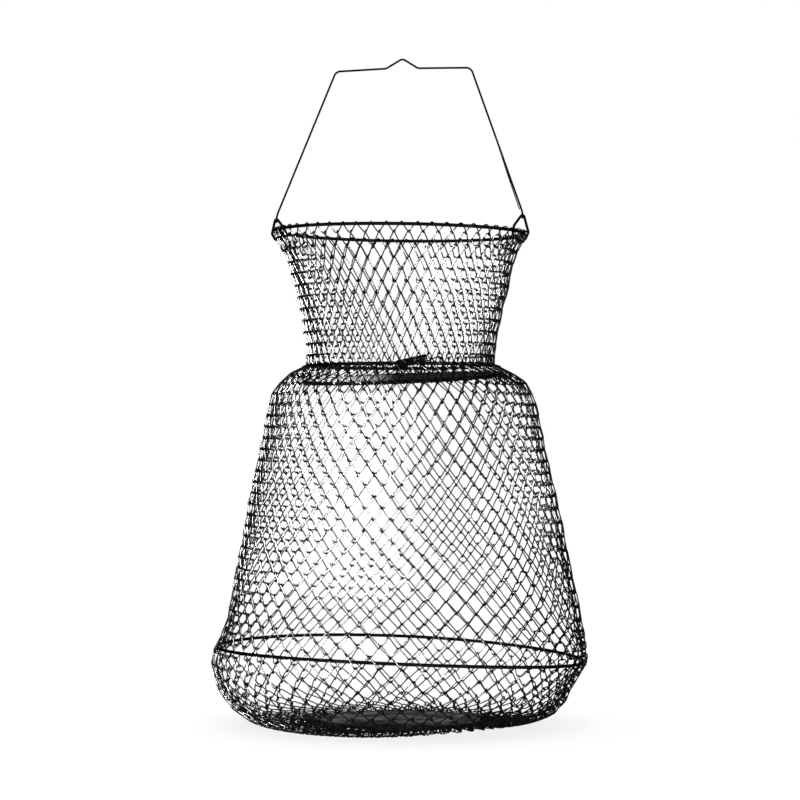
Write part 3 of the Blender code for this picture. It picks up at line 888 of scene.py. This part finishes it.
class KEEPNET_OT_mesh(bpy.types.Operator):
    """Make the spiral wire mesh: three lengths, each with a mesh of its own, and the rows that hold the hoops
    """

    bl_idname = "keepnet.mesh"
    bl_label = "Spiral mesh"

    def execute(self, context):
        net = context.scene.keepnet.net
        wire = bpy.data.materials["mesh_wire"]
        levels, under_neck, holding = row_levels(net)
        rows = mesh_rows(net, levels, under_neck, holding)
        stroke = {name: joint["range_m"][1] for name, joint in JOINTS.items() if name.endswith("_fold")}
        # Each length keeps what its joint's stroke leaves of it, and the row on the body hoop keeps half
        funnel_keep = 1 - stroke["funnel_fold"] / (FUNNEL_LINKS[0] * MM - NECK_Z)
        body_keep = 1 - stroke["body_fold"] / (FIRST_BODY_LINK - BODY_Z)
        bottom_keep = 1 - stroke["bottom_fold"] / FIRST_BOTTOM_LINK
        funnel_fold = ("funnel_fold", NECK_Z, funnel_keep)
        body_fold, hoop_fold = ("body_fold", BODY_Z, body_keep), ("body_fold", BODY_Z, 0.5)
        bottom_fold = ("bottom_fold", 0.0, bottom_keep)
        for name, body, part, node, fold in (
            ("rim_row", "rim", rows[:1], None, None),
            ("funnel_mesh", "neck", rows[1:under_neck - 1], "funnel_net", funnel_fold),
            ("neck_rows", "neck", rows[under_neck - 1:under_neck + 1], None, None),
            ("body_mesh", "body_ring", rows[under_neck + 1:holding], "body_net", body_fold),
            ("body_hoop_row", "body_ring", rows[holding:holding + 1], None, hoop_fold),
            ("bottom_mesh", "bottom", rows[holding + 1:], "bottom_net", bottom_fold),
        ):
            piece = make_piece(name, part, wire, body, [node] if node else [], smooth=80.0)
            bpy.data.collections["net_only"].objects.link(piece)
            if fold:
                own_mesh(piece)
        return {"FINISHED"}


class KEEPNET_OT_ears(bpy.types.Operator):
    """Make the two links that hold the bail on the rim"""

    bl_idname = "keepnet.ears"
    bl_label = "Ears"

    def execute(self, context):
        black = bpy.data.materials["black_wire"]
        left = ((104.9, 441.2), (103.0, 436.4), (106.0, 433.0), (111.2, 433.0), (113.4, 437.2))
        right = ((102.6, 444.2), (101.4, 437.4), (104.2, 433.2), (110.6, 433.2), (113.0, 438.4))
        for side, node, crown, corners in (
            (-1, "left_ear", LEFT_CROWN, left),
            (1, "right_ear", RIGHT_CROWN, right),
        ):
            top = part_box(node)[1].z - EAR_TOP
            circles = [((crown * MM, top - CROWN_BEND), CROWN_BEND)]
            circles += [(np.array(corner) * MM, CORNER_BEND) for corner in corners]
            path = belt(circles, steps=8)
            path = np.stack([side * path[:, 0], 0 * path[:, 0], path[:, 1]], axis=1)
            make_piece(f"{node}_link", [tube(path, EAR_WIRE, (0, 1, 0), closed=True)], black, "rim", [node])
        return {"FINISHED"}


class KEEPNET_OT_bail(bpy.types.Operator):
    """Make the bail, with an eye at each end and a peak in the middle"""

    bl_idname = "keepnet.bail"
    bl_label = "Bail"

    def execute(self, context):
        ends = []
        for side, node, crown in ((-1, "left_ear", LEFT_CROWN), (1, "right_ear", RIGHT_CROWN)):
            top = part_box(node)[1].z - EAR_TOP
            turn = np.radians(np.linspace(315, 35, 30))
            x = side * crown * MM + 0 * turn
            eye = np.stack([x, BAIL_EYE * np.sin(turn), top + BAIL_EYE * np.cos(turn)], axis=1)
            shank = np.array([[side * (crown - 0.8) * MM, 0.0, top + 5.0 * MM]])
            ends.append(np.concatenate([eye, shank]))
        corners = np.array([
            (-57.6, 0, 581.9), (-12.9, 0, 584.6), (1.8, 0, 593.5), (15.6, 0, 585.0), (62.9, 0, 585.5),
        ]) * MM
        top = rounded([ends[0][-1], *corners, ends[1][-1]], np.array([6, 6, 4, 6, 6]) * MM)
        path = np.concatenate([ends[0][:-1], top, ends[1][-2::-1]])
        # The wire's end is laid back along the lower part of the right leg
        foot, bend = ends[1][-1], corners[-1]
        share = np.linspace(0.0, LAID_BACK, 40)[:, None]
        tail = foot + (bend - foot) * share + np.array([-1.75, 0.2, 0.0]) * MM * (1 - share)
        taper = BAIL_WIRE / 2 * np.clip((LAID_BACK - share[:, 0]) / 0.2, 0.15, 1)
        shapes = [tube(path, BAIL_WIRE), tube(tail, taper)]
        make_piece("bail_wire", shapes, bpy.data.materials["black_wire"], "bail", ["bail"])
        return {"FINISHED"}


def door_row(k, rows, net):
    """One flat coil across the door, along X, cut where it leaves the hoop."""
    pitch = 2 * DOOR_RADIUS / rows
    middle = DOOR_RADIUS - (k + 0.5) * pitch
    share, down, out, face_down, face_out, _ = flat_coil(pitch / 2 + net.hook, DOOR_COIL)
    turns = math.ceil(2 * DOOR_RADIUS / DOOR_TURN) + 2
    along = ((np.arange(turns)[:, None] + share[None, :] + k / 2 % 1).ravel() - turns / 2) * DOOR_TURN
    flat = np.stack([along, np.tile(middle - down, turns), np.tile(out, turns)], axis=1)
    side = np.stack([0 * along, np.tile(-face_down, turns), np.tile(face_out, turns)], axis=1)
    inside = np.flatnonzero(np.hypot(flat[:, 0], flat[:, 1]) < DOOR_RADIUS)
    kept = slice(inside[0], inside[-1] + 1)
    path = on_door(flat[kept])
    return tube(path, net.wire / 2, on_door(flat[kept] + side[kept]) - path, sides=COIL_SIDES)


def door_lacing():
    """A thin wire wound round the door's hoop."""
    turn = np.linspace(0, FULL, LACING_TURNS * 12, endpoint=False)
    roll = turn * LACING_TURNS
    reach = HOOP_WIRE + LACING_WIRE + GAP
    radius = DOOR_RADIUS + reach * np.cos(roll)
    lacing = np.stack([radius * np.cos(turn), radius * np.sin(turn), reach * np.sin(roll)], axis=1)
    path = on_door(lacing)
    return tube(path, LACING_WIRE, path - on_door(circle(DOOR_RADIUS, 0.0, count=len(turn))), 6, True)


def hinge_link(x):
    """A long closed link round the neck hoop and the door's hoop at one side of the hinge."""
    upper = np.array([x, math.sqrt(NECK_RADIUS**2 - x**2), NECK_Z])
    lower = on_door(np.array([[x, math.sqrt(DOOR_RADIUS**2 - x**2), 0.0]]))[0]
    along = unit(lower - upper)
    square = np.cross((1, 0, 0), along)
    turn = np.linspace(0, math.pi, 13)[:, None]
    half_turns = [
        centre + HINGE_LINK_BEND * (np.cos(turn + start) * square - np.sin(turn + start) * along)
        for centre, start in ((upper, 0.0), (lower, math.pi))
    ]
    return tube(np.concatenate(half_turns), HINGE_LINK_WIRE, (1, 0, 0), closed=True)


class KEEPNET_OT_door(bpy.types.Operator):
    """Make the trap door: its hoop, its mesh, the wire laced round both, and the two links it hangs from"""

    bl_idname = "keepnet.door"
    bl_label = "Trap door"

    def execute(self, context):
        net = context.scene.keepnet.net
        black, wire = bpy.data.materials["black_wire"], bpy.data.materials["door_wire"]
        ring = circle(DOOR_RADIUS, 0.0)
        hoop = tube(on_door(ring), HOOP_WIRE, on_door(ring + (0, 0, 1)) - on_door(ring), closed=True)
        make_piece("door_hoop_wire", [hoop], black, "door", ["door_hoop"])
        rows = round(2 * DOOR_RADIUS / DOOR_ROW)
        shapes = [door_row(k, rows, net) for k in range(rows)]
        wires = make_piece("door_wires", shapes, wire, "door", ["door_mesh"], smooth=80.0)
        bpy.data.collections["net_only"].objects.link(wires)
        make_piece("door_lacing", [door_lacing()], wire, "door", smooth=80.0)
        for side, node in ((-1, "left_hinge_link"), (1, "right_hinge_link")):
            make_piece(f"{node}_wire", [hinge_link(side * HINGE_HALF)], black, "neck", [node])
        return {"FINISHED"}


class KEEPNET_OT_spring(bpy.types.Operator):
    """Make the door's spring: a coil on the neck hoop, a leg under the door and one hooked on the hoop"""

    bl_idname = "keepnet.spring"
    bl_label = "Door spring"

    def execute(self, context):
        run = SPRING_RIGHT - SPRING_LEFT
        axis = unit(run)
        up = unit(np.array([0, 0, 1.0]) - axis[2] * axis)
        out = np.cross(axis, up)
        share = np.linspace(0, 1, SPRING_TURNS * 16 + 1)[:, None]
        angle = share * SPRING_TURNS * FULL
        coil = SPRING_LEFT + run * share + SPRING_RADIUS * (np.sin(angle) * out - np.cos(angle) * up)
        under = on_door(np.array([[0.0, 46.0, -1.9], [-3.5, 70.0, -1.9]]) * MM)
        passing = np.array([-3.7, 75.0, 315.0]) * MM
        start = rounded([under[0], under[1], passing, coil[0]], [3 * MM, 2 * MM], steps=6)[:-1]
        hook = np.array([SPRING_HOOK_X, math.sqrt(NECK_RADIUS**2 - SPRING_HOOK_X**2), NECK_Z])
        inward = -unit(hook * (1, 1, 0))
        bend = HOOP_WIRE + SPRING_WIRE + 0.4 * MM
        turn = np.linspace(0, math.pi * 0.85, 13)[:, None]
        around = hook + bend * (np.cos(turn) * inward - np.sin(turn) * np.array([0, 0, 1]))
        over = np.array([SPRING_HOOK_X - 4 * MM, hook[1] + inward[1] * bend, 330.4 * MM])
        end = rounded([coil[-1], over, around[0]], [3 * MM], steps=6)[1:-1]
        path = np.concatenate([start, coil, end, around])
        material = bpy.data.materials["spring_wire"]
        shape = tube(path, SPRING_WIRE, sides=8)
        make_piece("spring_wire_coil", [shape], material, "neck", ["door_spring"])
        return {"FINISHED"}


class KEEPNET_OT_base(bpy.types.Operator):
    """Make the base plate, the clamp plate under it and the rivet"""

    bl_idname = "keepnet.base"
    bl_label = "Base"

    def execute(self, context):
        grey = bpy.data.materials["grey_sheet"]
        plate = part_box("base_plate")[1].x
        # Scaled so that the widest point, at 71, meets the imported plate's edge
        outline = np.array([
            (2.2, 3.2), (10.0, 3.2), (12.0, 3.0), (60.0, 3.0), (66.0, 3.2), (68.0, 3.4), (68.9, 4.2),
            (69.7, 4.7), (70.4, 4.75), (70.9, 4.4), (71.0, 3.8), (70.9, 2.8), (70.4, 2.4), (60.0, 2.35),
            (12.0, 2.3), (2.2, 2.4),
        ]) * (plate / 71.0)
        make_piece("base_disc", [turned(outline[::-1])], grey, "bottom", ["base_plate"])
        clamp = np.array([
            (2.2, 1.8), (8.0, 1.8), (9.5, 0.8), (57.4, 0.8), (58.0, 0.5), (58.0, 0.2), (57.6, 0.0),
            (8.2, 0.0), (7.0, 1.0), (2.2, 1.0),
        ]) * MM
        make_piece("clamp_disc", [turned(clamp[::-1])], grey, "bottom", ["clamp_plate"])
        arc = np.radians(np.linspace(0, 90, 7))
        head = np.stack([4.5 * np.sin(arc), 3.5 + 1.4 * np.cos(arc)], axis=1)
        tail = np.array([(1.9, 3.5), (1.9, 0.7), (3.4, 0.7), (3.5, 0.4), (3.0, 0.25), (0.0, 0.2)])
        rivet = np.concatenate([head, tail]) * MM
        make_piece("rivet", [turned(rivet[::-1], 48)], grey, "bottom", ["base_rivet"])
        return {"FINISHED"}


OPERATORS = (
    KEEPNET_OT_stage,
    KEEPNET_OT_finishes,
    KEEPNET_OT_hoops,
    KEEPNET_OT_mesh,
    KEEPNET_OT_ears,
    KEEPNET_OT_bail,
    KEEPNET_OT_door,
    KEEPNET_OT_spring,
    KEEPNET_OT_base,
)


class KEEPNET_PT_sidebar(bpy.types.Panel):
    """The pieces and their settings, in the 3D view's sidebar"""

    bl_idname = "KEEPNET_PT_sidebar"
    bl_label = "Keep Net"
    bl_space_type = "VIEW_3D"
    bl_region_type = "UI"
    bl_category = "Keep Net"

    def draw(self, context):
        settings = context.scene.keepnet
        for group in (settings.net, settings.finish, settings.stage):
            box = self.layout.box()
            for name in group.bl_rna.properties.keys():
                if name not in ("rna_type", "name"):
                    box.prop(group, name)
        for operator in OPERATORS:
            self.layout.operator(operator.bl_idname)


CLASSES = (
    KEEPNET_PG_net, KEEPNET_PG_finish, KEEPNET_PG_stage, KEEPNET_PG_all, *OPERATORS, KEEPNET_PT_sidebar,
)


def register():
    for cls in CLASSES:
        bpy.utils.register_class(cls)
    bpy.types.Scene.keepnet = bpy.props.PointerProperty(type=KEEPNET_PG_all)


def unregister():
    del bpy.types.Scene.keepnet
    for cls in reversed(CLASSES):
        bpy.utils.unregister_class(cls)


def main():
    register()
    bpy.ops.keepnet.stage()
    bpy.ops.keepnet.finishes()
    bpy.ops.keepnet.hoops()
    bpy.ops.keepnet.mesh()
    bpy.ops.keepnet.ears()
    bpy.ops.keepnet.bail()
    bpy.ops.keepnet.door()
    bpy.ops.keepnet.spring()
    bpy.ops.keepnet.base()


if __name__ == "__main__":
    main()
